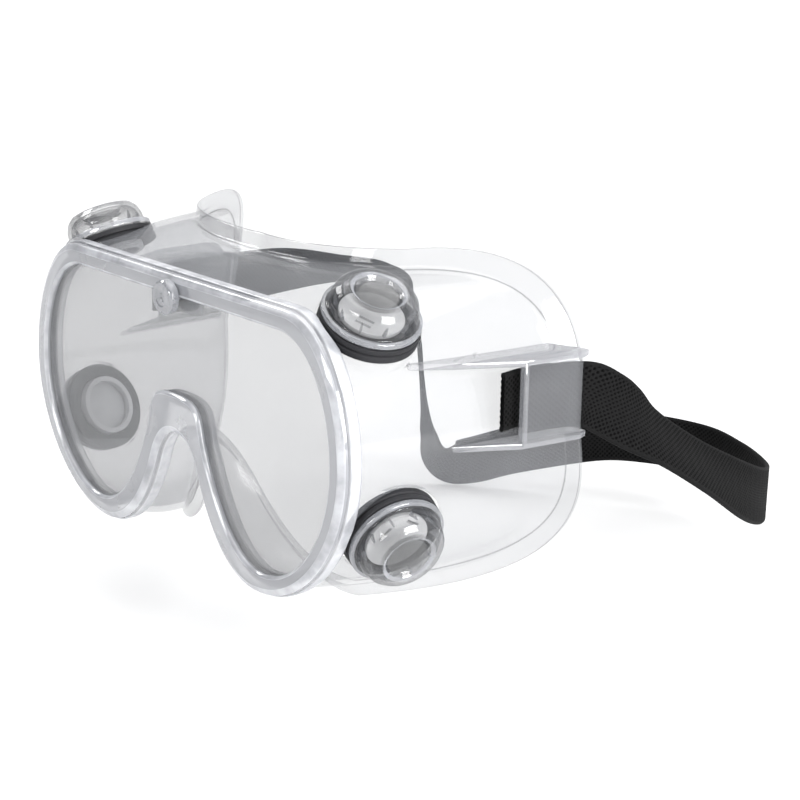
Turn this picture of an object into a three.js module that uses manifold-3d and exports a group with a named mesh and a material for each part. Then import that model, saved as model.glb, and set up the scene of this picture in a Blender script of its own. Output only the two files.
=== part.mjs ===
// Splash goggles: a soft clear frame that seals to the face, a flat clear lens held in a
// groove and by one stud, four breather vents on the corners, and an elastic head strap.
//
// Millimetres. +Z is up, the lens looks along -Y and the face sits on the +Y side.
// X = 0 is the plane of symmetry. Dimensions below take the front face of the rim as the
// plane y = 0; the finished group is then moved so that its origin lies where the face is.

import * as THREE from "three";
import { mergeVertices } from "three/addons/utils/BufferGeometryUtils.js";
import Module from "manifold-3d";

const wasm = await Module();
wasm.setup();

// ---------------------------------------------------------------- driving dimensions

const GAP = 0.3; // clearance between pieces that touch
const FACE_DEPTH = 60; // from the front of the rim back to the origin, at the face
const REACH = 100; // longer than any piece is from the origin, for cutting tools

const RIM = {
  bevel: 0.6, // on the edge that frames the lens
  lipThickness: 1.7, // front lip of the lens channel
  grooveFront: 1.75,
  grooveBack: 4.35,
  grooveDepth: 3.4, // how far the groove reaches past the visible edge of the lens
  throat: 0.3, // how far the opening behind the lens stands back from its visible edge
  throatBevel: 0.9,
  beadProud: 1.5, // how far the outer bead stands out from the front face edge
  beadFront: 2.2,
  beadBack: 5.4,
  depth: 6.8, // front face to the start of the side wall
};

const WALL = {
  thickness: 1.8,
  neck: 0.2, // how far inside the rim's outline the wall starts
  start: 7.6, // how far behind the front face it starts
  bulge: 1.0,
  steps: 4,
  lipThickness: 1.4, // the soft lip that lies on the face
  lipTaper: 0.3,
  foldInset: 0.9,
};

const LENS = { thickness: 2.0, front: 2.05, edgeCover: 3.0 };

const STUD = {
  z: 35.2,
  headRadius: 5.0,
  headThickness: 3.1,
  length: 14,
  shankRadius: 1.5,
  holeRadius: 1.8,
  ringRadius: 2.7,
  tabHalfWidth: 6,
  tabLow: 29.6,
  tabHigh: 41,
  tabBack: 7.4,
  sides: 20,
};

const STUD_RING_LENGTH = 2.0;

const VENT = {
  topCentre: new THREE.Vector3(65, 19.2, 39.3),
  topNormal: new THREE.Vector3(0.459, -0.068, 0.886),
  bottomCentre: new THREE.Vector3(75.6, 20, -18),
  bottomNormal: new THREE.Vector3(0.894, -0.162, -0.417),
  capRadius: 13.5,
  gasketRadius: 13.7,
  gasketHeight: 3.9,
  bossRadius: 13.7,
  bossFoot: 10, // how far below the vent's centre the boss reaches into the wall
  holeRadius: 9.6,
  holeDepth: 22,
  ledgeRadius: 6.4, // clear bore through the gasket, inside the ledge the flap lies on
  clearance: 0.7,
  sides: 24, // facets round each turned piece
};

// Upright fins inside the wall of a cap, measured out from its axis and up from its seat.
const FIN = { count: 10, width: 0.6, inner: 9.3, outer: 11.2, bottom: 1.6, top: 5.2 };

// Each slot lies across a radius of the disc: [its direction in degrees, its distance from the middle].
const BAFFLE = {
  radius: 9.4,
  thickness: 1.2,
  slotLength: 4.4,
  slotWidth: 1.0,
  topSlots: [[-60, 3.4], [-60, 5.7]],
  bottomSlots: [[-135, 5.2], [140, 6.4]],
};

const FLAP = { radius: 7.8, thickness: 0.6, hubRadius: 2.0, hubHeight: 1.0 };

const BRACKET = {
  rootX: 70, // the rails start inside the wall and are trimmed flush with its inside
  rootFrontY: 24,
  rootBackY: 66,
  shoulderX: 74.8, // where a rail's outer edge leaves the wall
  railThickness: 1.7,
  topRailZ: 26.2, // underside of the top rail where the strap passes
  bottomRailZ: 5.4, // top of the bottom rail
  plateThickness: 1.6,
  plateFrontY: 52,
  plateBackY: 71,
  plateFrontX: 87.6, // inner face of the plate at its front edge
  plateBackX: 89.4,
  tipX: 85.5,
  tipY: 74.5, // rear tips of the rails
};

const STRAP = {
  width: 18,
  thickness: 1.4,
  centreZ: 15.9,
  tailWidth: 16, // the sewn tail lies under the strap and shows ahead of the plate
  tailRise: 0.6, // how far the tail sits above the middle of the strap
  swingY: 82, // axis about which the loop bends where it leaves the brackets
  swingZ: 13.2,
  swingRadius: 10.6,
  stepsPerSpan: 4,
};

const UPRIGHT = [0, 0, 1];

// Centre line of the strap from the right bracket round to the left one, each point with the
// direction that the strap's width lies in there. Nobody wears it, so it hangs slack: the
// right run slopes down, and the left run goes straight back, drops on edge and twists.
const STRAP_COURSE = [
  [[85.9, 55, 15.9], UPRIGHT],
  [[86.7, 62, 15.9], UPRIGHT],
  [[88.0, 69, 15.9], UPRIGHT],
  [[89.2, 75.5, 15.3], UPRIGHT],
  [[89.9, 82, 12.6], UPRIGHT],
  [[90.5, 90, 7.4], [-0.2, 0, 1]],
  [[90.5, 101, -0.4], [-0.5, 0, 0.85]],
  [[88.5, 123, -14], [-0.55, 0.1, 0.8]],
  [[81.5, 150, -28.5], [-0.3, 0.2, 0.9]],
  [[67, 177, -39.5], UPRIGHT],
  [[46, 202, -46.5], UPRIGHT],
  [[22, 218, -49], UPRIGHT],
  [[0, 223.5, -49], UPRIGHT],
  [[-30, 210, -49], [-0.2, 0.2, 1]],
  [[-48, 199, -53.5], [-0.2, 0.2, 1]],
  [[-62, 186, -58.5], UPRIGHT],
  [[-71, 176, -62.5], [0.15, 0.1, 1]],
  [[-76, 170, -63.5], [0.35, 0, 0.95]],
  [[-79.5, 165.5, -60], [0.6, -0.25, 0.75]],
  [[-81.5, 163.5, -52], [0.7, -0.4, 0.6]],
  [[-83, 162.5, -42], [0.75, -0.55, 0.4]],
  [[-84, 161.5, -30], [0.75, -0.6, 0.3]],
  [[-85, 160.5, -16], [0.75, -0.6, 0.3]],
  [[-85.5, 158.5, -3], [0.7, -0.65, 0.3]],
  [[-87, 154, 6], [0.65, -0.65, 0.4]],
  [[-89, 144, 10], [0.6, -0.55, 0.6]],
  [[-90.5, 124, 12.5], [0.5, -0.4, 0.8]],
  [[-91, 101, 14.5], [0.3, -0.25, 0.9]],
  [[-89.9, 82, 14.4], UPRIGHT],
  [[-89.2, 75.5, 15.4], UPRIGHT],
  [[-88.0, 69, 15.9], UPRIGHT],
  [[-86.7, 62, 15.9], UPRIGHT],
  [[-85.9, 55, 15.9], UPRIGHT],
];

// ---------------------------------------------------------------- outlines

// Each outline is half of a closed curve, from the top centre round the right side to the
// centre of the nose, as five cubic stretches: brow, brow corner, cheek, inner cheek, nose.
const STRETCH_STEPS = [6, 9, 9, 9, 7];

const v = (x, y, z) => new THREE.Vector3(x, y, z);

// Outer edge of the rim's flat front face.
const FACE_EDGE = [
  [v(0, 0, 40.4), v(18, 0, 40.4), v(36, 0, 40.4), v(53, 0, 40.4)],
  [v(53, 0, 40.4), v(66, 0, 40.4), v(77.6, 0, 24), v(77.6, 0, 3)],
  [v(77.6, 0, 3), v(77.6, 0, -18), v(60, 0, -39.2), v(39, 0, -39.2)],
  [v(39, 0, -39.2), v(26, 0, -39.2), v(17, 0, -28), v(11.5, 0, -14)],
  [v(11.5, 0, -14), v(8.5, 0, -6.5), v(4.5, 0, -3.8), v(0, 0, -3.8)],
];

// Edge of the lens that shows inside the rim.
const LENS_EDGE = [
  [v(0, 0, 35.3), v(17, 0, 35.3), v(34, 0, 35.3), v(50, 0, 35.3)],
  [v(50, 0, 35.3), v(62, 0, 35.3), v(72.4, 0, 22), v(72.4, 0, 3)],
  [v(72.4, 0, 3), v(72.4, 0, -16), v(58, 0, -33.8), v(42, 0, -33.8)],
  [v(42, 0, -33.8), v(29, 0, -33.8), v(20, 0, -20), v(14, 0, -4)],
  [v(14, 0, -4), v(12, 0, 5), v(11, 0, 7), v(0, 0, 7)],
];

// Fold where the side wall ends and the face lip starts.
const FOLD = [
  [v(0, 28, 45.6), v(24, 25.5, 46.6), v(40, 30.5, 47.2), v(48, 41.5, 46.7)],
  [v(48, 41.5, 46.7), v(66, 66, 48.5), v(80, 77, 40), v(83.5, 71.8, 2)],
  [v(83.5, 71.8, 2), v(85, 74, -17), v(83, 74, -35), v(44, 30.5, -43.2)],
  [v(44, 30.5, -43.2), v(32, 25, -44), v(19, 21, -30), v(13, 17, -17)],
  [v(13, 17, -17), v(9, 13.5, -8), v(5, 12, -5.5), v(0, 12, -5.5)],
];

// Free edge of the face lip.
const LIP_EDGE = [
  [v(0, 30.5, 50), v(24, 25.5, 50.8), v(41, 32, 51.9), v(49, 43.5, 51.9)],
  [v(49, 43.5, 51.9), v(66, 71.5, 54.5), v(83, 83.5, 43), v(85.8, 75.5, 2)],
  [v(85.8, 75.5, 2), v(88, 77.5, -19), v(86, 76, -39), v(45, 32, -46.8)],
  [v(45, 32, -46.8), v(32, 27, -48), v(17, 23, -34), v(10.5, 19, -19)],
  [v(10.5, 19, -19), v(7.5, 16, -12), v(4, 15, -10), v(0, 15, -10)],
];

// The whole closed outline as a ring of points, right half then left half.
function ring(stretches) {
  const half = [];
  stretches.forEach((p, i) => {
    const curve = new THREE.CubicBezierCurve3(...p);
    const steps = STRETCH_STEPS[i];
    for (let k = 0; k < steps; k++) half.push(curve.getPoint(k / steps));
  });
  const noseCentre = stretches.at(-1).at(-1).clone();
  const left = half.slice(1).reverse().map((p) => v(-p.x, p.y, p.z));
  return [...half, noseCentre, ...left];
}

// A ring moved outwards in the XZ plane by a distance, at a depth of its own or as it is.
function offset(points, distance, y = null) {
  const n = points.length;
  return points.map((p, i) => {
    const before = points[(i + n - 1) % n];
    const after = points[(i + 1) % n];
    const normal = new THREE.Vector2(before.z - after.z, after.x - before.x).normalize();
    return v(p.x + normal.x * distance, y ?? p.y, p.z + normal.y * distance);
  });
}

function blend(a, b, t) {
  return a.map((p, i) => p.clone().lerp(b[i], t));
}

const faceEdge = ring(FACE_EDGE);
const lensEdge = ring(LENS_EDGE);
const fold = ring(FOLD);
const lipEdge = ring(LIP_EDGE);
const wallFront = offset(faceEdge, -WALL.neck, WALL.start);

// Outer surface of the side wall at a fraction t of the way from the rim to the fold.
function wallRing(t, inset) {
  const bulge = WALL.bulge * 4 * t * (1 - t);
  return offset(blend(wallFront, fold, t), bulge - inset);
}

// ---------------------------------------------------------------- geometry helpers

// Skin over a row of rings with equal counts. A closed row makes a tube bent into a ring;
// an open row gets a flat cap at each end.
function loft(rings, closed) {
  const n = rings[0].length;
  const positions = rings.flat().flatMap((p) => [p.x, p.y, p.z]);
  const index = [];
  const rows = closed ? rings.length : rings.length - 1;
  for (let r = 0; r < rows; r++) {
    const a = r * n;
    const b = ((r + 1) % rings.length) * n;
    for (let i = 0; i < n; i++) {
      const j = (i + 1) % n;
      index.push(a + i, a + j, b + i, b + i, a + j, b + j);
    }
  }
  if (!closed) {
    const first = capTriangles(rings[0], 0);
    const last = capTriangles(rings.at(-1), (rings.length - 1) * n);
    first.forEach(([a, b, c]) => index.push(a, c, b));
    last.forEach(([a, b, c]) => index.push(a, b, c));
  }
  const geometry = new THREE.BufferGeometry();
  geometry.setAttribute("position", new THREE.Float32BufferAttribute(positions, 3));
  geometry.setIndex(index);
  return geometry;
}

// Triangles across a ring, turning the same way round as the ring does.
function capTriangles(points, start) {
  const flat = points.map((p) => new THREE.Vector2(p.x, p.z));
  const reverse = THREE.ShapeUtils.isClockWise(flat);
  const faces = THREE.ShapeUtils.triangulateShape(flat, []);
  return faces.map(([a, b, c]) => {
    const turn = reverse ? [a, c, b] : [a, b, c];
    return turn.map((k) => k + start);
  });
}

function toSolid(geometry) {
  const bare = geometry.clone();
  bare.deleteAttribute("normal");
  bare.deleteAttribute("uv");
  const merged = mergeVertices(bare, 1e-4);
  const mesh = new wasm.Mesh({
    numProp: 3,
    vertProperties: merged.getAttribute("position").array,
    triVerts: new Uint32Array(merged.getIndex().array),
  });
  return new wasm.Manifold(mesh);
}

function toGeometry(solid) {
  const mesh = solid.getMesh();
  const geometry = new THREE.BufferGeometry();
  geometry.setAttribute("position", new THREE.BufferAttribute(mesh.vertProperties, 3));
  geometry.setIndex(new THREE.BufferAttribute(mesh.triVerts, 1));
  geometry.computeVertexNormals();
  return geometry;
}

// Turned shape about +Z from [radius, height] corners, listed so that the solid closes.
function turned(profile, sides = VENT.sides) {
  const points = profile.map(([r, h]) => new THREE.Vector2(r, h));
  if (points[0].x > 0) points.push(points[0].clone());
  return new THREE.LatheGeometry(points, sides).rotateX(Math.PI / 2);
}

function cylinder(radius, bottom, top, sides = VENT.sides) {
  const geometry = new THREE.CylinderGeometry(radius, radius, top - bottom, sides);
  return geometry.rotateX(Math.PI / 2).translate(0, 0, (top + bottom) / 2);
}

function box(min, max) {
  const size = max.clone().sub(min);
  const centre = max.clone().add(min).multiplyScalar(0.5);
  return new THREE.BoxGeometry(size.x, size.y, size.z).translate(centre.x, centre.y, centre.z);
}

function polygon(corners) {
  return new THREE.Shape(corners.map(([x, y]) => new THREE.Vector2(x, y)));
}

function finish(color, roughness, opacity = 1) {
  const transparent = opacity < 1;
  return new THREE.MeshStandardMaterial({ color, roughness, metalness: 0, opacity, transparent });
}

const CLEAR_VINYL = () => finish(0xe4e7ec, 0.25, 0.4);
const CLEAR_LENS = () => finish(0xf0f2f4, 0.1, 0.25);
const CLEAR_CAP = () => finish(0xd9dce2, 0.2, 0.5);
const DARK_SEAL = () => finish(0x3c3d40, 0.6);
const SOFT_FLAP = () => finish(0xb9bcc2, 0.4);
const BLACK_WEBBING = () => finish(0x1b1b1c, 0.9);

const goggles = new THREE.Group();

function place(name, geometry, material, parent = goggles) {
  const mesh = new THREE.Mesh(geometry, material);
  mesh.name = name;
  parent.add(mesh);
  return mesh;
}

// ---------------------------------------------------------------- vent places

// The four vents, each with the pose that carries its own +Z along the vent's axis.
const VENTS = [
  ["upper_right", VENT.topCentre, VENT.topNormal, BAFFLE.topSlots, 1],
  ["upper_left", VENT.topCentre, VENT.topNormal, BAFFLE.topSlots, -1],
  ["lower_right", VENT.bottomCentre, VENT.bottomNormal, BAFFLE.bottomSlots, 1],
  ["lower_left", VENT.bottomCentre, VENT.bottomNormal, BAFFLE.bottomSlots, -1],
].map(([name, centre, normal, slots, side]) => {
  const mirror = v(side, 1, 1);
  const axis = normal.clone().multiply(mirror).normalize();
  const position = centre.clone().multiply(mirror);
  const turn = new THREE.Quaternion().setFromUnitVectors(v(0, 0, 1), axis);
  const pose = new THREE.Matrix4().compose(position, turn, v(1, 1, 1));
  return { name, position, turn, pose, slots, side };
});

// ---------------------------------------------------------------- frame

// Fractions of the way from the rim to the fold at which the wall has a ring.
const WALL_STEPS = [...Array(WALL.steps + 1).keys()].map((k) => k / WALL.steps);

// Cross-section of the frame as rings, from the front lip round the outside to the face
// lip and back along the inside to the lens groove.
function frameRings() {
  const outside = WALL_STEPS.map((t) => wallRing(t, 0));
  const inside = WALL_STEPS.map((t) => wallRing(t, WALL.thickness)).reverse();
  const facing = (points) => points.map((p) => v(p.x, p.y + WALL.lipThickness, p.z));
  return [
    offset(lensEdge, 0, RIM.bevel),
    offset(lensEdge, RIM.bevel, 0),
    offset(faceEdge, 0, 0),
    offset(faceEdge, 0.73 * RIM.beadProud, 0.45 * RIM.beadFront),
    offset(faceEdge, RIM.beadProud, RIM.beadFront),
    offset(faceEdge, RIM.beadProud, RIM.beadBack),
    offset(faceEdge, 0.67 * RIM.beadProud, RIM.depth - GAP),
    offset(faceEdge, -WALL.neck, RIM.depth),
    ...outside,
    lipEdge,
    facing(offset(lipEdge, -WALL.lipTaper)),
    facing(offset(fold, -WALL.foldInset)),
    ...inside,
    offset(lensEdge, RIM.throat + RIM.throatBevel, RIM.depth),
    offset(lensEdge, RIM.throat, RIM.depth - RIM.throatBevel),
    offset(lensEdge, RIM.throat, RIM.grooveBack),
    offset(lensEdge, RIM.grooveDepth, RIM.grooveBack),
    offset(lensEdge, RIM.grooveDepth, RIM.grooveFront),
    offset(lensEdge, 0, RIM.lipThickness),
  ];
}

// The hollow behind the lens, which no boss or rail may enter.
function hollow() {
  const walls = WALL_STEPS.map((t) => wallRing(t, WALL.thickness));
  const behind = walls.at(-1).map((p) => v(p.x, p.y + 20, p.z));
  const rings = [
    offset(lensEdge, RIM.throat, RIM.grooveBack),
    offset(lensEdge, RIM.throat, RIM.depth - RIM.throatBevel),
    offset(lensEdge, RIM.throat + RIM.throatBevel, RIM.depth),
    ...walls,
    behind,
  ];
  return toSolid(loft(rings, false));
}

// One rail of a strap bracket: flush with the wall in front, widest at the plate.
function rail(bottom, side) {
  const corners = [
    [BRACKET.rootX, BRACKET.rootFrontY],
    [BRACKET.shoulderX, BRACKET.rootFrontY],
    [BRACKET.plateFrontX + BRACKET.plateThickness, BRACKET.plateFrontY],
    [BRACKET.plateBackX + BRACKET.plateThickness, BRACKET.plateBackY],
    [BRACKET.plateBackX, BRACKET.tipY],
    [BRACKET.tipX, BRACKET.tipY - 1],
    [BRACKET.rootX, BRACKET.rootBackY],
  ].map(([x, y]) => [x * side, y]);
  const shape = polygon(corners);
  const settings = { depth: BRACKET.railThickness, bevelEnabled: false };
  return toSolid(new THREE.ExtrudeGeometry(shape, settings).translate(0, 0, bottom));
}

// The plate that bridges the two rails; the strap runs between it and the wall.
function plate(side) {
  const t = BRACKET.plateThickness;
  const corners = [
    [BRACKET.plateFrontX, BRACKET.plateFrontY],
    [BRACKET.plateFrontX + t, BRACKET.plateFrontY],
    [BRACKET.plateBackX + t, BRACKET.plateBackY],
    [BRACKET.plateBackX, BRACKET.plateBackY],
  ].map(([x, y]) => [x * side, y]);
  const height = BRACKET.topRailZ - BRACKET.bottomRailZ + 1;
  const settings = { depth: height, bevelEnabled: false };
  const flat = new THREE.ExtrudeGeometry(polygon(corners), settings);
  return toSolid(flat.translate(0, 0, BRACKET.bottomRailZ - 0.5));
}

function ventBoss(vent) {
  const boss = cylinder(VENT.bossRadius, -VENT.bossFoot, -VENT.gasketHeight - 2 * GAP);
  return toSolid(boss.applyMatrix4(vent.pose));
}

function ventHole(vent) {
  return toSolid(cylinder(VENT.holeRadius, -VENT.holeDepth, 2).applyMatrix4(vent.pose));
}

// Everything above a vent's seat, so that the wall leaves room for the vent.
function ventClearance(vent) {
  const seat = -VENT.gasketHeight - 2 * GAP;
  const clear = cylinder(VENT.bossRadius + VENT.clearance, seat, 12);
  return toSolid(clear.applyMatrix4(vent.pose));
}

function studTab() {
  const low = v(-STUD.tabHalfWidth, RIM.grooveBack, STUD.tabLow);
  const high = v(STUD.tabHalfWidth, STUD.tabBack, STUD.tabHigh);
  return toSolid(box(low, high));
}

function studHole(radius) {
  const hole = cylinder(radius, -STUD.length, STUD.length, STUD.sides).rotateX(-Math.PI / 2);
  return toSolid(hole.translate(0, 0, STUD.z));
}

function frame() {
  const inside = hollow();
  let solid = toSolid(loft(frameRings(), true));
  for (const vent of VENTS) solid = solid.add(ventBoss(vent).subtract(inside));
  for (const side of [1, -1]) {
    const top = rail(BRACKET.topRailZ, side);
    const bottom = rail(BRACKET.bottomRailZ - BRACKET.railThickness, side);
    solid = solid.add(top.add(bottom).add(plate(side)).subtract(inside));
  }
  for (const vent of VENTS) {
    solid = solid.subtract(ventClearance(vent));
    solid = solid.subtract(ventHole(vent));
  }
  solid = solid.add(studTab()).subtract(studHole(STUD.holeRadius));
  return toGeometry(solid);
}

place("frame", frame(), CLEAR_VINYL());

// ---------------------------------------------------------------- lens and its stud

function lens() {
  const edge = offset(lensEdge, LENS.edgeCover);
  const shape = new THREE.Shape(edge.map((p) => new THREE.Vector2(p.x, p.z)));
  const settings = { depth: LENS.thickness, bevelEnabled: false };
  const flat = new THREE.ExtrudeGeometry(shape, settings).rotateX(Math.PI / 2);
  const plane = toSolid(flat.translate(0, LENS.front + LENS.thickness, 0));
  return toGeometry(plane.subtract(studHole(STUD.holeRadius)));
}

// The stud points along +Y: its head is in front of the rim, its tip behind the tab.
function stud() {
  const head = STUD.headThickness;
  const profile = [
    [0, 0.9],
    [1.1, 0.9],
    [1.4, 0.2],
    [2.4, 0.2],
    [2.7, 0],
    [4.3, 0],
    [STUD.headRadius, 0.8],
    [STUD.headRadius, head - 0.4],
    [4.6, head],
    [STUD.shankRadius, head],
    [STUD.shankRadius, STUD.length - 0.6],
    [1.1, STUD.length],
    [0, STUD.length],
  ];
  const shape = turned(profile, STUD.sides).rotateX(-Math.PI / 2);
  return shape.translate(0, -head - GAP, STUD.z);
}

// A push-on ring that grips the tip of the stud behind the frame.
function studRing() {
  const profile = [
    [STUD.holeRadius, 0],
    [STUD.ringRadius, 0],
    [STUD.ringRadius, STUD_RING_LENGTH],
    [STUD.holeRadius, STUD_RING_LENGTH],
  ];
  const shape = turned(profile, STUD.sides).rotateX(-Math.PI / 2);
  return shape.translate(0, STUD.tabBack + GAP, STUD.z);
}

place("lens", lens(), CLEAR_LENS());
place("lens_stud", stud(), CLEAR_CAP());
place("lens_stud_ring", studRing(), CLEAR_CAP());

// ---------------------------------------------------------------- vents

// Rubber gasket: a collar on the boss with a spigot through the hole in the wall. The
// cap's skirt goes into the groove in its top, and the flap rests on its inner ledge.
function gasket() {
  const h = VENT.gasketHeight;
  const spigot = VENT.holeRadius - GAP;
  const base = -h - GAP;
  return turned([
    [VENT.ledgeRadius, base - 3.6],
    [spigot, base - 3.6],
    [spigot, base],
    [VENT.gasketRadius, base],
    [VENT.gasketRadius, -2.5],
    [13.1, -2.1],
    [13.5, -1.7],
    [13.5, -GAP],
    [12.0, -GAP],
    [12.0, -3.0],
    [10.2, -3.0],
    [10.2, -GAP],
    [8.4, -GAP],
    [8.4, base],
    [VENT.ledgeRadius, base],
  ]);
}

// Thin round flap that lifts off its ledge to let damp air out.
function flap() {
  const bottom = -VENT.gasketHeight;
  const top = bottom + FLAP.thickness;
  return turned([
    [0, bottom],
    [FLAP.radius, bottom],
    [FLAP.radius, top],
    [FLAP.hubRadius, top],
    [0.7 * FLAP.hubRadius, bottom + FLAP.hubHeight],
    [0, bottom + FLAP.hubHeight],
  ]);
}

// Splash baffle: a disc with two short slots, mirrored on the left side.
function baffle(slots, side) {
  const disc = new THREE.Shape().absarc(0, 0, BAFFLE.radius, 0, 2 * Math.PI);
  const out = BAFFLE.slotWidth / 2;
  const across = BAFFLE.slotLength / 2;
  for (const [degrees, distance] of slots) {
    const corners = [[-out, -across], [-out, across], [out, across], [out, -across]];
    const turn = THREE.MathUtils.degToRad(degrees);
    const points = corners.map(([x, y]) => {
      const corner = new THREE.Vector2(distance + x, y).rotateAround(new THREE.Vector2(), turn);
      return new THREE.Vector2(corner.x * side, corner.y);
    });
    disc.holes.push(new THREE.Path(points).closePath());
  }
  const settings = { depth: BAFFLE.thickness, bevelEnabled: false, curveSegments: 24 };
  return new THREE.ExtrudeGeometry(disc, settings);
}

// Domed cap with a shallow round well in its top, fins inside its wall and a skirt below.
function cap() {
  const shell = turned([
    [0, 5.9],
    [5.6, 5.9],
    [6.6, 6.9],
    [7.9, 7.5],
    [9.2, 7.1],
    [10.4, 5.6],
    [10.9, 3.8],
    [10.5, 1.9],
    [10.5, -2.6],
    [11.7, -2.6],
    [11.7, 0],
    [13.2, 0],
    [VENT.capRadius, 0.3],
    [VENT.capRadius, 1.7],
    [12.1, 1.9],
    [11.9, 4.4],
    [11.1, 6.8],
    [9.6, 8.4],
    [8.0, 8.9],
    [6.8, 8.5],
    [5.9, 7.2],
    [5.3, 6.9],
    [0, 6.9],
  ]);
  let solid = toSolid(shell);
  const low = v(FIN.inner, -FIN.width / 2, FIN.bottom);
  const high = v(FIN.outer, FIN.width / 2, FIN.top);
  for (let k = 0; k < FIN.count; k++) {
    const angle = ((k + 0.5) / FIN.count) * 2 * Math.PI;
    solid = solid.add(toSolid(box(low, high).rotateZ(angle)));
  }
  return toGeometry(solid);
}

const gasketGeometry = gasket();
const flapGeometry = flap();
const capGeometry = cap();

for (const vent of VENTS) {
  const group = new THREE.Group();
  group.position.copy(vent.position);
  group.quaternion.copy(vent.turn);
  goggles.add(group);
  place(`vent_gasket_${vent.name}`, gasketGeometry, DARK_SEAL(), group);
  place(`vent_flap_${vent.name}`, flapGeometry, SOFT_FLAP(), group);
  place(`vent_baffle_${vent.name}`, baffle(vent.slots, vent.side), CLEAR_CAP(), group);
  place(`vent_cap_${vent.name}`, capGeometry, CLEAR_CAP(), group);
}

// ---------------------------------------------------------------- strap

// A flat ribbon along a course of [point, direction of its width] pairs.
function ribbon(course, width) {
  const line = new THREE.CatmullRomCurve3(course.map(([point]) => v(...point)));
  const lean = new THREE.CatmullRomCurve3(course.map(([, direction]) => v(...direction)));
  const steps = STRAP.stepsPerSpan * (course.length - 1);
  const sections = [];
  for (let k = 0; k <= steps; k++) {
    const centre = line.getPoint(k / steps);
    const along = line.getTangent(k / steps);
    const side = along.clone().cross(lean.getPoint(k / steps)).normalize();
    const up = side.clone().cross(along).multiplyScalar(width / 2);
    side.multiplyScalar(STRAP.thickness / 2);
    sections.push([
      centre.clone().sub(side).add(up),
      centre.clone().add(side).add(up),
      centre.clone().add(side).sub(up),
      centre.clone().sub(side).sub(up),
    ]);
  }
  return loft(sections, false);
}

// Round bar along the axis that the loop swings about, from one side to the other.
function swingBar(radius) {
  const bar = new THREE.CylinderGeometry(radius, radius, 2 * REACH, 36).rotateZ(Math.PI / 2);
  return toSolid(bar.translate(0, STRAP.swingY, STRAP.swingZ));
}

// Everything in front of a plane across the strap, on one side or on both.
function inFrontOf(y, low = -REACH, high = REACH) {
  return toSolid(box(v(low, 0, -REACH), v(high, y, REACH)));
}

// The end of the strap that lies in a bracket, hollowed to let the loop swing.
function strapEnd(strap, side) {
  const y = STRAP.swingY - 1;
  const front = side > 0 ? inFrontOf(y, 0, REACH) : inFrontOf(y, -REACH, 0);
  return toGeometry(strap.intersect(front).subtract(swingBar(STRAP.swingRadius + GAP)));
}

// The sewn tail: a second, narrower layer inside the first that shows ahead of the plate.
function strapTail(side) {
  const z = STRAP.centreZ + STRAP.tailRise;
  const course = [
    [[85.5 * side, 47.2, z], UPRIGHT],
    [[84.05 * side, 56, z], UPRIGHT],
    [[84.7 * side, 65, z], UPRIGHT],
  ];
  return ribbon(course, STRAP.tailWidth);
}

// The loop behind the head, with rounded ends on the swing axis.
function strapLoop(strap) {
  const removed = inFrontOf(STRAP.swingY).subtract(swingBar(STRAP.swingRadius));
  return toGeometry(strap.subtract(removed));
}

const strap = toSolid(ribbon(STRAP_COURSE, STRAP.width));
for (const [name, side] of [["right", 1], ["left", -1]]) {
  place(`strap_end_${name}`, strapEnd(strap, side), BLACK_WEBBING());
  place(`strap_tail_${name}`, strapTail(side), BLACK_WEBBING());
}
place("strap_loop", strapLoop(strap), BLACK_WEBBING());

goggles.position.y = -FACE_DEPTH;

export default goggles;
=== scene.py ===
"""Looks of the splash goggles: clear vinyl frame, flat lens, four breather vents and a knitted strap.

Shapes are worked out in millimetres with the front of the rim at y = 0, then moved into the row frame,
whose origin is 60 mm behind the front of the rim. "Local" shapes of a vent have +Z along its axis.
"""

import math

import bpy
import numpy as np
from mathutils import Matrix, Vector


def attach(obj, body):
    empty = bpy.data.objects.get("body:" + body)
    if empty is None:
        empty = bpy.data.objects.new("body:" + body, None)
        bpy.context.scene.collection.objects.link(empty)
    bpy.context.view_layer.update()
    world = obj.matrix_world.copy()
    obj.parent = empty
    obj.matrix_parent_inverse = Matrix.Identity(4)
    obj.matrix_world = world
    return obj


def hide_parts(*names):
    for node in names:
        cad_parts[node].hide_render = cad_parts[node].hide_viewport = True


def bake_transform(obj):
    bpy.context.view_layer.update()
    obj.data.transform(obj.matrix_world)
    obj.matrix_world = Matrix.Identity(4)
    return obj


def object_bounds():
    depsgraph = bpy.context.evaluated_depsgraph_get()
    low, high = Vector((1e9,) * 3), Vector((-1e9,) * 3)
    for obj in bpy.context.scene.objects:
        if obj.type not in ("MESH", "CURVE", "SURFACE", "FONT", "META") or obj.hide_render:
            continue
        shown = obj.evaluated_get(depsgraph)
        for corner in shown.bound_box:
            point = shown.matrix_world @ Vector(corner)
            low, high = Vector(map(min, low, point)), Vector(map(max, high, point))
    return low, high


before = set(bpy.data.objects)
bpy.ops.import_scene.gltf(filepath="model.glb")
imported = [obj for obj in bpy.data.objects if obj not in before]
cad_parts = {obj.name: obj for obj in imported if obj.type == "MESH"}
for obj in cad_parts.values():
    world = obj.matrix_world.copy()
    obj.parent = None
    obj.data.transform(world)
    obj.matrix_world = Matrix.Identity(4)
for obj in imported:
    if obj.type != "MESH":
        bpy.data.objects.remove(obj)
cad_low, cad_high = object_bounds()

MM = 0.001
FACE_DEPTH = 60.0  # from the front of the rim back to the origin

# ------------------------------------------------------------------ outlines of the frame

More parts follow.
